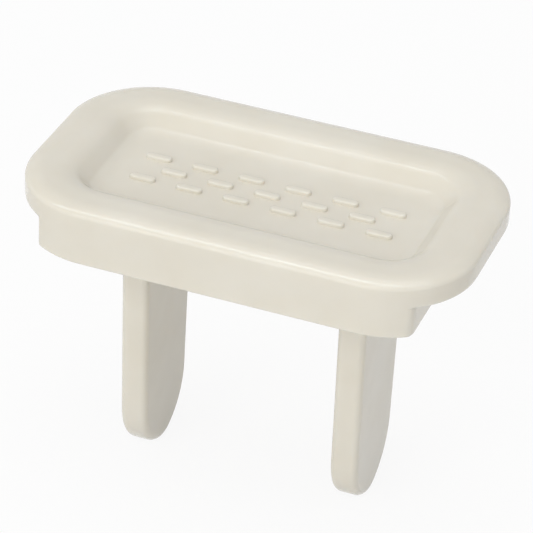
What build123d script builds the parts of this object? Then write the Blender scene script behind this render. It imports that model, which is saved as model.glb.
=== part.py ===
from build123d import *
import math
import os

# Outlet safety cover: a one-piece moulded cap for a two-blade wall outlet.
# Millimetres, +Z up. The wall plate is the plane Z = 0, the blades point down
# into the slots, and the length of the cap runs along X.

# plate and dish
plate_length = 25.6
plate_width = 15.0
plate_corner = 5.0  # outer corner radius, seen from above
rim_height = 3.4  # top of the rim above the wall plate
ledge_height = 1.8  # underside of the finger ledges above the wall plate
dish_depth = 1.2  # rim top down to the floor
dish_slope = 48.0  # straight part of the dish side, degrees
crest_width = 0.6  # flat along the very top of the rim
crown_round = 2.4  # gentle roll from the crest towards the dish
crown_turn = 24.0  # slope at which the roll turns down sharply, degrees
brow_round = 1.1  # tighter radius above the straight side
crease_round = 0.3  # tighter hollow radius below it
hollow_round = 2.4  # wide hollow that runs out on the floor
hollow_turn = 22.0  # slope at which that hollow starts, degrees
shoulder_reach = 1.05  # crest out to the outer face
shoulder_drop = 0.55  # crest down to where the outer face turns upright
shoulder_round = 0.35  # tighter radius at the outer face
lip_bevel = 0.2  # lower outer edge of the rim

# skirt that stands on the wall plate
grip_inset = 2.1  # end walls stand this far in, so fingers reach under the rim
grip_corner = 0.9
grip_turn = 40.0  # where the corner arc meets the plate outline, degrees
wall = 1.2
edge_round = 0.2  # lower outer edge of the skirt

# blades
blade_pitch = 12.7
blade_thickness = 1.6
blade_root_width = 6.8
blade_tip_width = 6.1  # where the rounded tip starts
blade_length = 15.5  # below the wall plate
tip_height = 3.5
tip_crown = 2.0  # radius at the very tip
blade_edge_round = 0.4
root_bevel = 0.35  # sloped corner where a blade leaves the floor
root_sink = 0.05  # that slope starts this deep inside the blade

# raised grip ribs on the floor
rib_length = 1.5
rib_width = 0.5
rib_height = 0.22
rib_pitch = 2.74
rib_row_gap = 1.18
rib_count = 6

# sizes that follow from the ones above
floor_height = rim_height - dish_depth
ceiling = floor_height - wall
side = math.radians(dish_slope)
brow = math.radians(crown_turn)
crease = math.radians(hollow_turn)
crown_fall = crown_round * (1 - math.cos(brow))
brow_fall = brow_round * (math.cos(brow) - math.cos(side))
crease_fall = crease_round * (math.cos(crease) - math.cos(side))
hollow_fall = hollow_round * (1 - math.cos(crease))
side_fall = dish_depth - crown_fall - brow_fall - crease_fall - hollow_fall
crown_run = crown_round * math.sin(brow)
brow_run = brow_round * (math.sin(side) - math.sin(brow))
crease_run = crease_round * (math.sin(side) - math.sin(crease))
hollow_run = hollow_round * math.sin(crease)
side_run = side_fall / math.tan(side)
dish_run = crown_run + brow_run + side_run + crease_run + hollow_run
rim_reach = shoulder_reach + crest_width + dish_run
floor_corner = plate_corner - rim_reach
shoulder_in = shoulder_reach - shoulder_round
shoulder_top = shoulder_in**2 + shoulder_drop**2 - shoulder_round**2
shoulder_top = shoulder_top / (2 * (shoulder_drop - shoulder_round))
shoulder_turn = math.degrees(math.asin(shoulder_in / (shoulder_top - shoulder_round)))
tip_half = blade_tip_width / 2
tip_side = tip_half**2 + tip_height**2 - 2 * tip_height * tip_crown
tip_side = tip_side / (2 * (tip_half - tip_crown))
tip_turn = math.degrees(math.asin((tip_height - tip_crown) / (tip_side - tip_crown)))

# the grip corner arc crosses the rounded corner of the plate a little steeper
# than the outline runs, so the ledge starts there with a clean edge
end_wall = plate_length / 2 - grip_inset
turn = math.radians(grip_turn)
cross_x = end_wall - grip_corner * (1 - math.cos(turn))
corner_x = plate_length / 2 - plate_corner
corner_y = plate_width / 2 - plate_corner
cross_y = corner_y + math.sqrt(plate_corner**2 - (cross_x - corner_x) ** 2)
end_wall_half = cross_y - grip_corner * math.sin(turn)

# plan of the skirt: the plate outline with both ends cut back
with BuildSketch() as skirt_plan:
    RectangleRounded(plate_length, plate_width, plate_corner)
    with BuildLine():
        end_line = Line((end_wall, 0), (end_wall, end_wall_half))
        corner_arc = JernArc(end_line @ 1, (0, 1), grip_corner, grip_turn + 10)
        Polyline(corner_arc @ 1, (plate_length, plate_width), (plate_length, 0))
        mirror(about=Plane.XZ)
    make_face(mode=Mode.SUBTRACT)
    mirror(about=Plane.YZ, mode=Mode.INTERSECT)

with BuildSketch() as hollow_plan:
    add(skirt_plan.sketch)
    offset(amount=-wall, kind=Kind.INTERSECTION)

# flat floor of the dish
with BuildSketch() as floor_plan:
    RectangleRounded(
        plate_length - 2 * rim_reach, plate_width - 2 * rim_reach, floor_corner
    )
floor_edge = floor_plan.wire()
outward = (floor_edge % 0).cross(Vector(0, 0, 1))

# one blade, which starts halfway up the floor's thickness on a sloped root
blade_top = ceiling + wall / 2
root_reach = wall / 2 + root_bevel
with BuildPart() as blade:
    with BuildSketch(Plane.YZ):
        with BuildLine():
            Line((blade_root_width / 2, blade_top), (tip_half, tip_height - blade_length))
            long_arc = JernArc(
                (tip_half, tip_height - blade_length), (0, -1), tip_side, -tip_turn
            )
            JernArc(long_arc @ 1, long_arc % 1, tip_crown, tip_turn - 90)
            mirror(about=Plane.YZ)
            Line((-blade_root_width / 2, blade_top), (blade_root_width / 2, blade_top))
        make_face()
    extrude(amount=blade_thickness / 2, both=True)
    rims = blade.edges().filter_by(Plane.YZ)
    fillet(rims.sort_by(Axis.Z)[:-2], radius=blade_edge_round)
    with BuildSketch(Plane.XY.offset(blade_top)):
        RectangleRounded(
            blade_thickness + 2 * root_reach,
            blade_root_width + 2 * root_reach,
            blade_edge_round + root_reach,
        )
    extrude(amount=-root_reach - root_sink, taper=45)

with BuildPart() as outlet_cover:
    extrude(skirt_plan.sketch, amount=ledge_height + lip_bevel)
    fillet(outlet_cover.edges().group_by(Axis.Z)[0], radius=edge_round)
    extrude(hollow_plan.sketch, amount=ceiling, mode=Mode.SUBTRACT)
    with BuildSketch(Plane.XY.offset(ledge_height)):
        add(floor_plan.sketch)
    extrude(amount=floor_height - ledge_height)

    # rim: one cross-section carried round the edge of the floor
    with BuildSketch(Plane(floor_edge @ 0, x_dir=outward, z_dir=floor_edge % 0 * -1)):
        with BuildLine():
            hollow = JernArc((0, floor_height), (1, 0), hollow_round, hollow_turn)
            foot = JernArc(hollow @ 1, hollow % 1, crease_round, dish_slope - hollow_turn)
            dish_side = Line(foot @ 1, foot @ 1 + Vector(side_run, side_fall))
            edge = JernArc(dish_side @ 1, foot % 1, brow_round, crown_turn - dish_slope)
            crown = JernArc(edge @ 1, edge % 1, crown_round, -crown_turn)
            crest = Line(crown @ 1, (rim_reach - shoulder_reach, rim_height))
            fall = JernArc(crest @ 1, (1, 0), shoulder_top, -shoulder_turn)
            shoulder = JernArc(fall @ 1, fall % 1, shoulder_round, shoulder_turn - 90)
            Line(shoulder @ 1, (rim_reach, ledge_height + lip_bevel))
            Line((rim_reach, ledge_height + lip_bevel), (rim_reach - lip_bevel, ledge_height))
            Polyline((rim_reach - lip_bevel, ledge_height), (0, ledge_height), (0, floor_height))
        make_face()
    sweep(path=floor_edge)

    with GridLocations(blade_pitch, 1, 2, 1):
        add(blade.part)

    # grip ribs, two long rows with a shorter one set between them
    with BuildSketch(Plane.XY.offset(floor_height)):
        with GridLocations(rib_pitch, 2 * rib_row_gap, rib_count, 2):
            SlotOverall(rib_length, rib_width)
        with GridLocations(rib_pitch, 1, rib_count - 1, 1):
            SlotOverall(rib_length, rib_width)
    extrude(amount=rib_height)

outlet_cover.part.label = "outlet_cover"

os.makedirs("parts", exist_ok=True)
export_step(outlet_cover.part, "parts/outlet_cover.step")
print("floor height", round(floor_height, 3), "ceiling", round(ceiling, 3))
print("volume", round(outlet_cover.part.volume, 2), "valid", outlet_cover.part.is_valid)
print("solids", len(outlet_cover.solids()), "faces", len(outlet_cover.faces()))
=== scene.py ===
# %% [markdown]
# # Outlet safety cover
# A cap for a two-blade wall outlet, moulded in one piece from ivory plastic. Its round-cornered
# plate has a broad rim round a shallow dish, a skirt under it stands on the wall plate, and two
# flat blades push into the slots. The solid model of the cap is loaded first, as the fixed frame
# that the visible piece has to keep to.

import math

import bmesh
import bpy
from mathutils import Matrix, Vector


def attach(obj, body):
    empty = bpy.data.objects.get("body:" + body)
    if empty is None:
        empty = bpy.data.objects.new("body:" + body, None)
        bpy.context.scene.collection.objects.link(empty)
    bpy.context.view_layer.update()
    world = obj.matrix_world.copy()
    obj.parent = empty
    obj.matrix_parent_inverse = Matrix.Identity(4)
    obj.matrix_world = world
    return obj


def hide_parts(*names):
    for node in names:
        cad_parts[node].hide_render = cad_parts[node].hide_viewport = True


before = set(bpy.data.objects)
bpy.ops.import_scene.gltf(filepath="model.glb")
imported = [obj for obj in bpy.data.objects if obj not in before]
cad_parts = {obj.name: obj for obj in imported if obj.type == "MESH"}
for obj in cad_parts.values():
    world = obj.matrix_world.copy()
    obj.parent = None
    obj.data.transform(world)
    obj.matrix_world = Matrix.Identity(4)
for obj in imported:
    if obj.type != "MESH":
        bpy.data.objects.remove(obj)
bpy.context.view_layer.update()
MM = 0.001  # metres


# %% [markdown]
# ## Sizes
# The cap is drawn from these sizes. They could be typed in wherever they are used, but named in one
# place they can be read and changed together. The cap is so small that they are in millimetres, and
# it is shrunk to Blender's metres once it is finished. Z = 0 is the face of the wall plate, on
# which the skirt's lower edge lies, and the length of the cap runs along X.

# %% Sizes of the plate, the rim and the skirt
plate_length = 25.6
plate_width = 15.0
plate_corner = 5.0
rim_height = 3.4
ledge_height = 1.8
dish_depth = 1.2
dish_slope = math.radians(44.0)
crest_width = 0.6
crown_round = 2.4
crown_turn = math.radians(24.0)
brow_round = 1.1
crease_round = 0.6
hollow_round = 2.0
hollow_turn = math.radians(24.0)
shoulder_reach = 1.05
shoulder_drop = 0.5
shoulder_round = 0.3
lip_round = 0.2
grip_inset = 2.1
grip_corner = 0.9
grip_turn = math.radians(40.0)
wall = 1.2
edge_round = 0.2

floor_height = rim_height - dish_depth
ceiling = floor_height - wall
corner_x = plate_length / 2 - plate_corner
corner_y = plate_width / 2 - plate_corner
print("floor at", round(floor_height, 3), "mm, ceiling at", round(ceiling, 3), "mm")

# %% [markdown]
# The rim's section is a chain of arcs and straight lines. It could be adjusted by eye until it
# closes. Here the fall and run of each arc come from its radius and its slopes, and the straight
# side of the dish takes whatever depth is left, so that the chain closes at any size.

# %% Falls and runs of the section
crown_fall = crown_round * (1 - math.cos(crown_turn))
brow_fall = brow_round * (math.cos(crown_turn) - math.cos(dish_slope))
crease_fall = crease_round * (math.cos(hollow_turn) - math.cos(dish_slope))
hollow_fall = hollow_round * (1 - math.cos(hollow_turn))
side_fall = dish_depth - crown_fall - brow_fall - crease_fall - hollow_fall
crown_run = crown_round * math.sin(crown_turn)
brow_run = brow_round * (math.sin(dish_slope) - math.sin(crown_turn))
crease_run = crease_round * (math.sin(dish_slope) - math.sin(hollow_turn))
hollow_run = hollow_round * math.sin(hollow_turn)
side_run = side_fall / math.tan(dish_slope)
dish_run = crown_run + brow_run + side_run + crease_run + hollow_run
rim_reach = shoulder_reach + crest_width + dish_run
floor_corner = plate_corner - rim_reach
shoulder_in = shoulder_reach - shoulder_round
shoulder_top = shoulder_in**2 + shoulder_drop**2 - shoulder_round**2
shoulder_top = shoulder_top / (2 * (shoulder_drop - shoulder_round))
shoulder_turn = math.asin(shoulder_in / (shoulder_top - shoulder_round))
print("rim is", round(rim_reach, 3), "mm across, floor corner", round(floor_corner, 3), "mm")

# %% [markdown]
# The skirt is flush with the plate along its sides, and is cut straight across 2.1 mm in from each
# end, so that the rim overhangs as a ledge for a fingertip. A small arc joins each end wall to the
# side. These lines find where that arc meets the outline of the plate, so that the two can share a
# row of points there instead of being cut to each other later.

# %% Where the end walls meet the sides
end_wall = plate_length / 2 - grip_inset
cross_x = end_wall - grip_corner * (1 - math.cos(grip_turn))
cross_turn = math.asin((cross_x - corner_x) / plate_corner)
cross_y = corner_y + plate_corner * math.cos(cross_turn)
end_wall_half = cross_y - grip_corner * math.sin(grip_turn)
print("side meets end wall at", round(cross_x, 3), round(cross_y, 3))

# %% [markdown]
# ## Drawing with points and arcs
# A moulded part is straight runs joined by true arcs. A curve object or a stack of bevels could
# make them, but here a single point is drawn out along a line with Extrude and round an arc with
# Spin, as a draughtsman would, and the section that it leaves is carried round the cap the same
# way. Each arc then has its exact centre, radius and turn.

# %% Helpers for drawing
def put_down():
    """Leave edit mode and let go of everything."""
    if bpy.context.object and bpy.context.object.mode != "OBJECT":
        bpy.ops.object.mode_set(mode="OBJECT")
    bpy.ops.object.select_all(action="DESELECT")


def start_point(name, place):
    """A new piece that is a single point: a small plane with its corners merged."""
    put_down()
    bpy.ops.mesh.primitive_plane_add(size=1, location=place)
    piece = bpy.context.object
    piece.name = name
    bpy.ops.object.transform_apply(location=True)
    bpy.ops.object.mode_set(mode="EDIT")
    bpy.ops.mesh.select_mode(type="VERT")
    bpy.ops.mesh.select_all(action="SELECT")
    bpy.ops.mesh.merge(type="CENTER")
    return piece


def pull(x, y, z):
    """Draw what is selected out along a straight line."""
    bpy.ops.mesh.extrude_region_move(TRANSFORM_OT_translate={"value": (x, y, z)})


def turn(angle, centre, axis, steps):
    """Draw what is selected out round an arc, anticlockwise seen against the axis."""
    bpy.ops.mesh.spin(steps=steps, angle=-angle, center=centre, axis=axis)


along = (1, 0, 0)
print("sections are drawn round the axis", along)

# %% [markdown]
# ## Section of the rim
# The rim is what the eye follows round this cap. A wide hollow climbs from the dish floor to a
# tighter crease, where the short straight side of the dish starts. A brow above it turns into the
# gentle roll of the crest, and two more arcs fall to the upright outer face. A bevelled block would
# have one radius all over. These differ, but share their tangents, so that light runs over the rim
# without a break.

# %% Draw the section
front_floor_edge = -(corner_y + floor_corner)
cover = start_point("cover_moulding", (-corner_x, front_floor_edge, floor_height))


def section_point(out, height):
    """A point of the section: how far out from the floor's edge, and how high."""
    return (-corner_x, front_floor_edge - out, height)


turn(-hollow_turn, section_point(0, floor_height + hollow_round), along, steps=8)
foot_out = hollow_run - crease_round * math.sin(hollow_turn)
foot_up = floor_height + hollow_fall + crease_round * math.cos(hollow_turn)
turn(hollow_turn - dish_slope, section_point(foot_out, foot_up), along, steps=6)
pull(0, -side_run, side_fall)
brow_out = dish_run - crown_run + brow_round * math.sin(crown_turn)
brow_up = rim_height - crown_fall - brow_round * math.cos(crown_turn)
turn(dish_slope - crown_turn, section_point(brow_out, brow_up), along, steps=8)
turn(crown_turn, section_point(dish_run, rim_height - crown_round), along, steps=10)
pull(0, -crest_width, 0)
fall_centre = section_point(dish_run + crest_width, rim_height - shoulder_top)
turn(shoulder_turn, fall_centre, along, steps=9)
shoulder_centre = section_point(rim_reach - shoulder_round, rim_height - shoulder_drop)
turn(math.pi / 2 - shoulder_turn, shoulder_centre, along, steps=9)
pull(0, 0, ledge_height - (rim_height - shoulder_drop))
bpy.ops.object.mode_set(mode="OBJECT")
for point in (cover.data.vertices[0], cover.data.vertices[-1]):
    print("section ends at", [round(value, 3) for value in point.co])

# %% [markdown]
# ## Picking by place
# By hand, edges are picked by clicking on them. A script picks them by their place instead, which
# still finds them when a size changes, whereas their numbers in the mesh would not.

# %% Helpers for picking
NEAR = 0.001  # mm within which two places count as one


def pick_up(piece):
    """Make this the one piece that is selected and active."""
    put_down()
    piece.select_set(True)
    bpy.context.view_layer.objects.active = piece


def pick_edges(wanted):
    """Select the edges that pass the test, and say how many."""
    bpy.ops.mesh.select_all(action="DESELECT")
    bpy.ops.mesh.select_mode(type="EDGE")
    shape = bmesh.from_edit_mesh(bpy.context.object.data)
    for edge in shape.edges:
        edge.select_set(wanted(edge))
    bmesh.update_edit_mesh(bpy.context.object.data)
    return sum(edge.select for edge in shape.edges)


def level(edge, height):
    """True for an edge that lies at this height."""
    return all(abs(point.co.z - height) < NEAR for point in edge.verts)


print("places within", NEAR, "mm count as one")

# %% [markdown]
# ## Carrying the section round
# The whole section is selected and pulled along the front, spun round the first corner, pulled
# across the end, and so on until it meets itself. A mirror modifier could make three quarters of
# this, but it has four joins that must lie exactly on the mirror planes, and a ring has only one.
# Each corner is spun in two parts, so that a row of points stands just where the side of the skirt
# will leave the plate's outline.

# %% Carry the section round the plate
def merge_doubles():
    """Merge the points that lie in one place."""
    bpy.ops.mesh.select_all(action="SELECT")
    bpy.ops.mesh.remove_doubles(threshold=NEAR / 2)


def fill_hole(wanted):
    """Put one face on the open edges that pass the test, and say how many they are."""
    count = pick_edges(lambda edge: edge.is_boundary and wanted(edge))
    bpy.ops.mesh.edge_face_add()
    return count


upright = (0, 0, 1)
corners = [
    (corner_x, -corner_y), (corner_x, corner_y), (-corner_x, corner_y), (-corner_x, -corner_y)]
runs = [(2 * corner_x, 0), (0, 2 * corner_y), (-2 * corner_x, 0), (0, -2 * corner_y)]
side_arc = (cross_turn, 12)
end_arc = (math.pi / 2 - cross_turn, 20)
pick_up(cover)
bpy.ops.object.mode_set(mode="EDIT")
bpy.ops.mesh.select_all(action="SELECT")
for number, (centre, run) in enumerate(zip(corners, runs)):
    pull(run[0], run[1], 0)
    for angle, steps in [end_arc, side_arc] if number % 2 else [side_arc, end_arc]:
        turn(angle, (centre[0], centre[1], 0), upright, steps)
merge_doubles()
print("floor has", fill_hole(lambda edge: level(edge, floor_height)), "edges")

# %% [markdown]
# ## Checking a piece
# After each large step one line is printed about the piece. It could be turned over in the viewport
# to look for holes, but a count of its open edges is surer, because a sound solid has none.

# %% Helpers for checking
def face_outwards():
    """Turn every face to the outside and leave edit mode."""
    bpy.ops.mesh.select_all(action="SELECT")
    bpy.ops.mesh.normals_make_consistent(inside=False)
    bpy.ops.object.mode_set(mode="OBJECT")


def report(piece):
    """Say how many faces a piece has, how many edges are open and how large it is."""
    shape = bmesh.new()
    shape.from_mesh(piece.data)
    open_edges = sum(not edge.is_manifold for edge in shape.edges)
    volume = round(shape.calc_volume(), 2)
    size = [round(value, 3) for value in piece.dimensions]
    print(piece.name, "faces", len(shape.faces), "open", open_edges, "volume", volume, size)
    shape.free()


print("a sound solid has 0 open edges")

# %% [markdown]
# ## Skirt
# Along the sides the skirt is the same face as the outside of the rim, so the rim's lower edges
# are simply pulled down to the wall plate. A separate skirt would leave a seam there. An upright
# edge is then spun round the small corner and pulled across for each end wall, and the two ledges
# and the underside are filled.

# %% Pull down the sides, draw the end walls, close the underside
def on_side(edge):
    """True for an open edge between the two end walls."""
    return edge.is_boundary and all(abs(point.co.x) < cross_x + NEAR for point in edge.verts)


def on_corner(edge, way):
    """True for the upright open edge from which an end wall is drawn."""
    return edge.is_boundary and all(
        abs(point.co.x - way * cross_x) < NEAR and point.co.y * way < 0 for point in edge.verts)


pick_edges(lambda edge: on_side(edge) and level(edge, ledge_height))
pull(0, 0, -ledge_height)
for way in (1, -1):
    pick_edges(lambda edge: on_corner(edge, way))
    for half in (-1, 1):
        grip_centre = (way * (end_wall - grip_corner), way * half * end_wall_half, 0)
        turn(grip_turn, grip_centre, upright, steps=8)
        if half < 0:
            pull(0, way * 2 * end_wall_half, 0)
merge_doubles()
for height, way in ((ledge_height, 1), (ledge_height, -1), (0, 0)):  # 0 is the whole underside
    fill_hole(lambda edge: level(edge, height) and all(
        point.co.x * way >= 0 for point in edge.verts))
face_outwards()
report(cover)

# %% [markdown]
# ## Softened edges
# No edge of a moulding is knife sharp, because the mould is polished and the plastic shrinks. The
# overhanging lower edge of the rim and the foot of the skirt are long convex edges, so Bevel rounds
# them. A bevel modifier would round every sharp edge of the cap, so the operator is given only the
# edges at two heights, and of the rim's only those outside the end walls.

# %% Round the rim's lower edge and the skirt's foot
def plate_outline_gap(place):
    """How far a point lies from the outline of the plate, seen from above."""
    out_x = max(abs(place.x) - corner_x, 0)
    out_y = max(abs(place.y) - corner_y, 0)
    return abs(math.hypot(out_x, out_y) - plate_corner)


def on_lip(edge):
    """True for the rim's lower outer edge where it overhangs."""
    on_outline = all(plate_outline_gap(point.co) < 2 * NEAR for point in edge.verts)
    past_side = max(abs(point.co.x) for point in edge.verts) > cross_x + NEAR
    return level(edge, ledge_height) and on_outline and past_side


def round_edges(radius, segments):
    """Bevel the picked edges."""
    bpy.ops.mesh.bevel(offset=radius, segments=segments, affect="EDGES", clamp_overlap=False)


bpy.ops.object.mode_set(mode="EDIT")
lip_edges = pick_edges(on_lip)
round_edges(lip_round, segments=5)
foot_edges = pick_edges(lambda edge: level(edge, 0))
round_edges(edge_round, segments=4)
bpy.ops.object.mode_set(mode="OBJECT")
print("rounded", lip_edges, "edges of the rim and", foot_edges, "of the skirt")
report(cover)

# %% [markdown]
# ## Hollow under the floor
# Plastic is moulded with walls of one thickness, so the block under the dish is cored out. A
# Solidify modifier could give the wall, but it would follow the dish on the inside too. The core
# is a block with its upright corners rounded, cut straight at both ends, and Boolean takes it away.

# %% Draw the core
core_below = 1.0  # the core sticks out below the skirt, so that the cut is clean


def block(name, low, high):
    """A rectangular block between two corners."""
    put_down()
    middle = [(a + b) / 2 for a, b in zip(low, high)]
    size = [b - a for a, b in zip(low, high)]
    bpy.ops.mesh.primitive_cube_add(size=1, location=middle, scale=size)
    piece = bpy.context.object
    piece.name = name
    bpy.ops.object.transform_apply(location=True, scale=True)
    return piece


core_x = plate_length / 2 - wall
core_y = plate_width / 2 - wall
core = block("core", (-core_x, -core_y, -core_below), (core_x, core_y, ceiling))
bpy.ops.object.mode_set(mode="EDIT")
pick_edges(lambda edge: abs(edge.verts[0].co.z - edge.verts[1].co.z) > NEAR)
bpy.ops.mesh.bevel(offset=plate_corner - wall, segments=24, affect="EDGES")
for way in (1, -1):
    bpy.ops.mesh.select_all(action="SELECT")
    bpy.ops.mesh.bisect(plane_co=(way * (end_wall - wall), 0, 0), plane_no=(way, 0, 0),
                        use_fill=True, clear_outer=True, threshold=NEAR / 10)
bpy.ops.object.mode_set(mode="OBJECT")
report(core)

# %% [markdown]
# The Boolean modifier is applied at once, so that the next steps work on a plain mesh. Its exact
# solver is slower than the fast one, but it leaves no open edges where faces meet.

# %% Take the core away
def combine(piece, other, operation):
    """Join another piece to this one, or take it away, and delete the other."""
    pick_up(piece)
    step = piece.modifiers.new(operation.lower(), "BOOLEAN")
    step.operation = operation
    step.solver = "EXACT"
    step.object = other
    bpy.ops.object.modifier_apply(modifier=step.name)
    bpy.data.objects.remove(other)


combine(cover, core, "DIFFERENCE")
report(cover)

# %% [markdown]
# ## Blades
# Each blade is a flat tongue with drafted edges and a rounded tip, so that it finds its slot. A
# scaled cube would have neither. An edge as long as the blade is thick is drawn down one side,
# round the tip in three arcs that share their tangents, and up the other side. The two flat faces
# are filled and the outline is bevelled.

# %% Sizes of a blade
blade_pitch = 12.7
blade_thickness = 1.6
blade_root_width = 6.8
blade_tip_width = 6.1
blade_length = 15.5
tip_height = 3.5
tip_crown = 2.0
blade_edge_round = 0.4
root_round = 0.4

half_thick = blade_thickness / 2
tip_half = blade_tip_width / 2
tip_side = tip_half**2 + tip_height**2 - 2 * tip_height * tip_crown
tip_side = tip_side / (2 * (tip_half - tip_crown))
tip_turn = math.asin((tip_height - tip_crown) / (tip_side - tip_crown))
tip_start = tip_height - blade_length
blade_top = ceiling + wall / 2
draft = (blade_root_width - blade_tip_width) / 2
print("tip arcs of", round(tip_side, 3), "and", tip_crown, "mm, draft", round(draft, 3), "mm")

# %% [markdown]
# The edge starts inside the floor's thickness, so that blade and floor overlap when they are
# joined. Faces that only touch are what a Boolean finds hardest.

# %% Draw one blade
blade = start_point("blade", (-half_thick, -blade_root_width / 2, blade_top))
pull(blade_thickness, 0, 0)
bpy.ops.mesh.select_all(action="SELECT")
pull(0, draft, tip_start - blade_top)
turn(tip_turn, (0, tip_side - tip_half, tip_start), along, steps=16)
turn(math.pi - 2 * tip_turn, (0, 0, tip_crown - blade_length), along, steps=24)
turn(tip_turn, (0, tip_half - tip_side, tip_start), along, steps=16)
pull(0, draft, blade_top - tip_start)
fill_hole(lambda edge: level(edge, blade_top))
for way in (1, -1):
    fill_hole(lambda edge: all(point.co.x * way > 0 for point in edge.verts))
bpy.ops.mesh.select_all(action="SELECT")
bpy.ops.mesh.normals_make_consistent(inside=False)
pick_edges(lambda edge: not level(edge, blade_top)
           and abs(edge.verts[0].co.x - edge.verts[1].co.x) < NEAR)
round_edges(blade_edge_round, segments=5)
bpy.ops.object.mode_set(mode="OBJECT")
report(blade)

# %% [markdown]
# The second blade is a copy with its own mesh. An array modifier could repeat it, but the two are
# joined to the cap one by one anyway. Both grow out of the underside of the dish floor, joined by
# a Boolean union.

# %% Join the blades
def copy_to(piece, shift):
    """A copy of a piece, with its own mesh, moved by shift."""
    pick_up(piece)
    bpy.ops.object.duplicate_move(TRANSFORM_OT_translate={"value": shift})
    bpy.ops.object.transform_apply(location=True)
    return bpy.context.object


for way in (1, -1):
    combine(cover, copy_to(blade, (way * blade_pitch / 2, 0, 0)), "UNION")
bpy.data.objects.remove(blade)
report(cover)

# %% [markdown]
# A thin blade cracks at a sharp root, so a moulder rounds it. The union has left a loop of new
# edges there, between the blade's side and the ceiling, and Bevel turns it into a small fillet.

# %% Round the roots
def at_root(edge):
    """True for an edge between a blade and the ceiling."""
    beside_blade = all(
        abs(point.co.y) < blade_root_width / 2
        and abs(abs(point.co.x) - blade_pitch / 2) < half_thick + NEAR for point in edge.verts)
    bend = len({round(face.normal.z) for face in edge.link_faces}) > 1
    return level(edge, ceiling) and beside_blade and bend


pick_up(cover)
bpy.ops.object.mode_set(mode="EDIT")
root_edges = pick_edges(at_root)
round_edges(root_round, segments=5)
bpy.ops.object.mode_set(mode="OBJECT")
print("rounded", root_edges, "edges at the blades' roots")
report(cover)

# %% [markdown]
# ## Ribs on the dish floor
# Raised ribs give the thumb a grip when the cap is pushed home. A bump in the material would shine
# like one but leave the dish flat from the side, so they are shaped. A rib is a low bar with round
# ends, drawn like the rim: a short profile from the floor over the rounded top edge, carried round
# both ends. Its foot starts a little under the floor and flares, which leaves the soft line that a
# polished mould gives.

# %% Draw one rib
rib_length = 1.5
rib_width = 0.5
rib_height = 0.22
rib_sink = 0.02
rib_flare = 0.06
rib_flare_turn = math.radians(80)
rib_top_round = 0.1

half_run = (rib_length - rib_width) / 2
half_width = rib_width / 2
rib_foot = floor_height - rib_sink
rib_top = floor_height + rib_height
rib = start_point("rib", (half_run, -half_width - rib_flare, rib_foot))
foot_centre = (half_run, -half_width - rib_flare, rib_foot + rib_flare)
turn(rib_flare_turn, foot_centre, along, steps=4)
bpy.ops.object.mode_set(mode="OBJECT")
flare_end = rib.data.vertices[-1].co.copy()
bpy.ops.object.mode_set(mode="EDIT")
pull(0, -half_width - flare_end.y, rib_top - rib_top_round - flare_end.z)
top_centre = (half_run, rib_top_round - half_width, rib_top - rib_top_round)
turn(-math.radians(90), top_centre, along, steps=5)
bpy.ops.mesh.select_all(action="SELECT")
for way in (1, -1):
    turn(math.pi, (way * half_run, 0, 0), upright, steps=20)
    pull(-way * 2 * half_run, 0, 0)
merge_doubles()
for height in (rib_top, rib_foot):
    fill_hole(lambda edge: level(edge, height))
face_outwards()
report(rib)

# %% [markdown]
# The rib is copied into three rows, the middle one shorter and set between the others, and all the
# copies are joined into one piece before the union, so that Boolean has to work only once.

# %% Set out the ribs and join them to the floor
rib_pitch = 2.74
rib_row_gap = 1.18
rib_count = 6

rows = [(rib_count, -rib_row_gap), (rib_count - 1, 0), (rib_count, rib_row_gap)]
places = [((spot - (count - 1) / 2) * rib_pitch, y) for count, y in rows for spot in range(count)]
ribs = [copy_to(rib, (x, y, 0)) for x, y in places]
put_down()
for piece in ribs:
    piece.select_set(True)
bpy.context.view_layer.objects.active = ribs[0]
bpy.ops.object.join()
combine(cover, bpy.context.object, "UNION")
bpy.data.objects.remove(rib)
print(len(places), "ribs")
report(cover)

# %% [markdown]
# ## To full size
# The cap is finished as a shape, so it is shrunk from millimetres to metres. Edges sharper than a
# set angle stay crisp, the rest are shaded smooth, and Weighted Normal lets the large flat faces
# decide how light meets them, so that no shading creeps over the floor from the arcs beside it.
# The piece then stands for the solid: it replaces its node and rides where the solid rides.

# %% Shrink, shade and join to the frame
crisp_angle = math.radians(35)
flat_face_weight = 80

pick_up(cover)
cover.scale = (MM, MM, MM)
bpy.ops.object.transform_apply(scale=True)
bpy.ops.object.shade_smooth_by_angle(angle=crisp_angle, keep_sharp_edges=False)
weighted = cover.modifiers.new("weighted", "WEIGHTED_NORMAL")
weighted.keep_sharp = True
weighted.weight = flat_face_weight
bpy.ops.object.modifier_apply(modifier=weighted.name)
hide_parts("outlet_cover")
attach(cover, "root")
print("full size in mm", [round(value / MM, 3) for value in cover.dimensions])

# %% [markdown]
# ## Ivory plastic
# The plastic is a warm ivory polypropylene, smooth and a little waxy. A single colour with one
# roughness would look like paint, so noises on the piece's own coordinates vary them, and stay
# in place when the cap is turned. The first noise is a faint cloud that shifts the colour by a few
# percent, as pigment does in a moulding.

# %% Colour of the plastic
darker_ivory = (0.715, 0.673, 0.582, 1)
lighter_ivory = (0.742, 0.705, 0.622, 1)

plastic = bpy.data.materials.new("ivory_plastic")
plastic.use_nodes = True
nodes, links = plastic.node_tree.nodes, plastic.node_tree.links
shader = nodes["Principled BSDF"]
own_place = nodes.new("ShaderNodeTexCoord").outputs["Object"]


def noise(scale, detail):
    """A noise that is fixed to the piece; the scale is in patches to the metre."""
    node = nodes.new("ShaderNodeTexNoise")
    node.inputs["Scale"].default_value = scale
    node.inputs["Detail"].default_value = detail
    links.new(own_place, node.inputs["Vector"])
    return node.outputs["Fac"]


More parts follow.
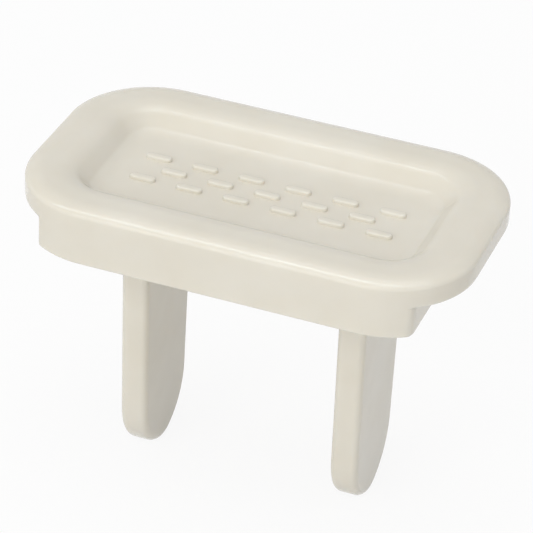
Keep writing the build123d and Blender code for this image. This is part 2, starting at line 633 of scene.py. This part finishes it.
tint = nodes.new("ShaderNodeValToRGB")
for stop, position, colour in zip(
        tint.color_ramp.elements, (0.3, 0.7), (darker_ivory, lighter_ivory)):
    stop.position = position
    stop.color = colour
links.new(noise(scale=260, detail=3), tint.inputs["Fac"])
links.new(tint.outputs["Color"], shader.inputs["Base Color"])
print("ivory from", darker_ivory, "to", lighter_ivory)

# %% [markdown]
# A mould is never polished quite evenly, so the gloss changes from patch to patch. Two bumps do
# the rest: a wide shallow one for the waviness of plastic that has shrunk, and a fine one for the
# grain of the mould. Real dents would need a far denser mesh for something less than 0.1 mm deep.

# %% Gloss and relief of the plastic
def bump(height, strength, distance, under=None):
    """A bump node, on top of another one if that is given."""
    node = nodes.new("ShaderNodeBump")
    node.inputs["Strength"].default_value = strength
    node.inputs["Distance"].default_value = distance
    links.new(height, node.inputs["Height"])
    if under:
        links.new(under, node.inputs["Normal"])
    return node.outputs["Normal"]


gloss = nodes.new("ShaderNodeMapRange")
gloss.inputs["To Min"].default_value = 0.08
gloss.inputs["To Max"].default_value = 0.16
links.new(noise(scale=700, detail=4), gloss.inputs["Value"])
links.new(gloss.outputs["Result"], shader.inputs["Roughness"])
waviness = bump(noise(scale=330, detail=1), strength=0.35, distance=0.08 * MM)
grain = bump(noise(scale=9000, detail=2), strength=0.15, distance=0.004 * MM, under=waviness)
links.new(grain, shader.inputs["Normal"])
print("the plastic has", len(nodes), "nodes")

# %% [markdown]
# Polypropylene lets some light in and gives it back a fraction of a millimetre away, red a little
# further than blue. Subsurface scattering does that, and softens the edges as it does on the real
# cap. These values are the same all over, so they are set on the shader itself.

# %% Body of the plastic
body = {
    "Subsurface Weight": 0.3,
    "Subsurface Radius": (1.0, 0.9, 0.75),
    "Subsurface Scale": 1.0 * MM,
    "IOR": 1.49,
    "Specular IOR Level": 0.25,
}
for name, value in body.items():
    shader.inputs[name].default_value = value
cover.data.materials.clear()
cover.data.materials.append(plastic)
print("materials", [slot.name for slot in cover.data.materials])

# %% [markdown]
# ## Floor and light tent
# The cap stands on the tips of its blades on a plain pale floor, in a white light tent. Seen by the
# camera, or mirrored in the gloss, the tent is plain white and the floor is drawn towards white. A
# backdrop lit until it is white could do the same, but its light would also fall on the cap and
# bleach it, so the Light Path node tells the two kinds of ray apart.

# %% Helpers for what is seen directly
def seen_directly(nodes, links):
    """1 for a ray from the camera, or from a mirror or clear surface, and 0 for scattered light."""
    path = nodes.new("ShaderNodeLightPath")
    total = path.outputs["Is Camera Ray"]
    for kind in ("Is Glossy Ray", "Is Transmission Ray"):
        either = nodes.new("ShaderNodeMath")
        either.operation = "MAXIMUM"
        links.new(total, either.inputs[0])
        links.new(path.outputs[kind], either.inputs[1])
        total = either.outputs["Value"]
    return total


def between(nodes, links, factor, low, high, start=0):
    """A number that goes from low to high as the factor goes from start to 1."""
    scale = nodes.new("ShaderNodeMapRange")
    scale.inputs["From Min"].default_value = start
    scale.inputs["To Max"].default_value = high
    if isinstance(low, bpy.types.NodeSocket):
        links.new(low, scale.inputs["To Min"])
    else:
        scale.inputs["To Min"].default_value = low
    links.new(factor, scale.inputs["Value"])
    return scale.outputs["Result"]


print("the camera, gloss and clear surfaces see white")

# %% [markdown]
# The floor is matt and pale, so that no mirror image of the cap lies under it. It keeps a share of
# its own shading where it is seen, and with it the cap's faint shadow.

# %% Floor
floor_size = 1.6
floor_grey = (0.88, 0.88, 0.88, 1)
whitening = 0.9

put_down()
bpy.ops.mesh.primitive_plane_add(size=floor_size, location=(0, 0, -blade_length * MM))
studio_floor = bpy.context.object
studio_floor.name = "studio_floor"
bpy.ops.object.transform_apply(location=True)
pale = bpy.data.materials.new("pale_floor")
pale.use_nodes = True
nodes, links = pale.node_tree.nodes, pale.node_tree.links
matt = nodes["Principled BSDF"]
matt.inputs["Base Color"].default_value = floor_grey
matt.inputs["Roughness"].default_value = 1.0
matt.inputs["Specular IOR Level"].default_value = 0.0
white = nodes.new("ShaderNodeEmission")
white.inputs["Color"].default_value = (1, 1, 1, 1)
mixed = nodes.new("ShaderNodeMixShader")
whiten = between(nodes, links, seen_directly(nodes, links), 0, whitening)
links.new(whiten, mixed.inputs["Fac"])
links.new(matt.outputs["BSDF"], mixed.inputs[1])
links.new(white.outputs["Emission"], mixed.inputs[2])
links.new(mixed.outputs["Shader"], nodes["Material Output"].inputs["Surface"])
studio_floor.data.materials.append(pale)
print("floor at", round(studio_floor.data.vertices[0].co.z / MM, 3), "mm")

# %% [markdown]
# The lamps of a real tent stand outside its walls, and the wall next to them is the brightest. Here
# that is the front one, so the strength follows the direction along Y. One strength all round would
# be simpler. But with this one, faces that are turned to the back get less light, such as the inner
# side of the near rim, and that shows their shape.

# %% Light tent
tent_front = 0.8
tent_back = 0.2
tent_seen = 1.0

world = bpy.data.worlds.new("light_tent")
bpy.context.scene.world = world
world.use_nodes = True
nodes, links = world.node_tree.nodes, world.node_tree.links
tent = nodes["Background"]
tent.inputs["Color"].default_value = (1, 1, 1, 1)
direction = nodes.new("ShaderNodeSeparateXYZ")
links.new(nodes.new("ShaderNodeTexCoord").outputs["Generated"], direction.inputs["Vector"])
falling = between(nodes, links, direction.outputs["Y"], tent_front, tent_back, start=-1)
strength = between(nodes, links, seen_directly(nodes, links), falling, tent_seen)
links.new(strength, tent.inputs["Strength"])
print("tent gives", tent_front, "in front and", tent_back, "behind")

# %% [markdown]
# ## Lamps
# One broad soft lamp stands in front and to the left, looking down at the cap, and another hangs
# overhead, so that the front and the top are a little lighter than the ends. Small lamps would do
# it with hard shadows, which moulded ivory doesn't flatter. A narrow strip lamp above is only
# mirrored: it draws the thin line of light along the front edge and the far side of the dish.

# %% Lamps
def soft_lamp(name, place, size, power, colour):
    """A lamp with a flat lit face that looks straight down."""
    lamp = bpy.data.lights.new(name, "AREA")
    lamp.shape = "RECTANGLE"
    lamp.size, lamp.size_y = size
    lamp.energy = power
    lamp.color = colour
    stand = bpy.data.objects.new(name, lamp)
    bpy.context.collection.objects.link(stand)
    stand.location = place
    return stand


broad = (0.34, 0.34)  # metres
narrow = (0.4, 0.02)
soft_white = (0.985, 1, 1)
cool_white = (0.78, 0.93, 1)
key = soft_lamp("key", (-0.08, -0.42, 0.25), broad, 0.8, soft_white)
key.rotation_euler = (-key.location).to_track_quat("-Z", "Y").to_euler()
top = soft_lamp("top", (0, 0, 0.45), broad, 0.745, soft_white)
strip = soft_lamp("strip", (-0.12, 0.01, 0.35), narrow, 0.28, cool_white)
strip.visible_diffuse = False
print("watts", {lamp.name: round(lamp.data.energy, 3) for lamp in (key, top, strip)})

# %% [markdown]
# ## Camera
# The camera looks down on the cap from the front right through a long lens, so that upright edges
# stay almost parallel. It could be aimed with angles or a constraint. Here its three axes are
# written out, because they were found together with its place, by fitting the cap's outline.

# %% Camera
view_right = Vector((0.93194, 0.35993, 0.04415))
view_up = Vector((-0.22954, 0.49129, 0.84022))
view_back = Vector((0.28073, -0.79315, 0.54047))
eye = Vector((45.10, -126.92, 84.22)) * MM
lens = bpy.data.cameras.new("camera")
lens.sensor_width = 36
lens.lens = 195.86
lens.clip_start = 0.005
camera = bpy.data.objects.new("camera", lens)
bpy.context.collection.objects.link(camera)
axes = Matrix((view_right, view_up, view_back)).transposed()
camera.matrix_world = Matrix.Translation(eye) @ axes.to_4x4()
bpy.context.scene.camera = camera
bpy.context.scene.view_settings.view_transform = "Standard"
print("camera at", [round(value / MM, 2) for value in camera.location], "mm")
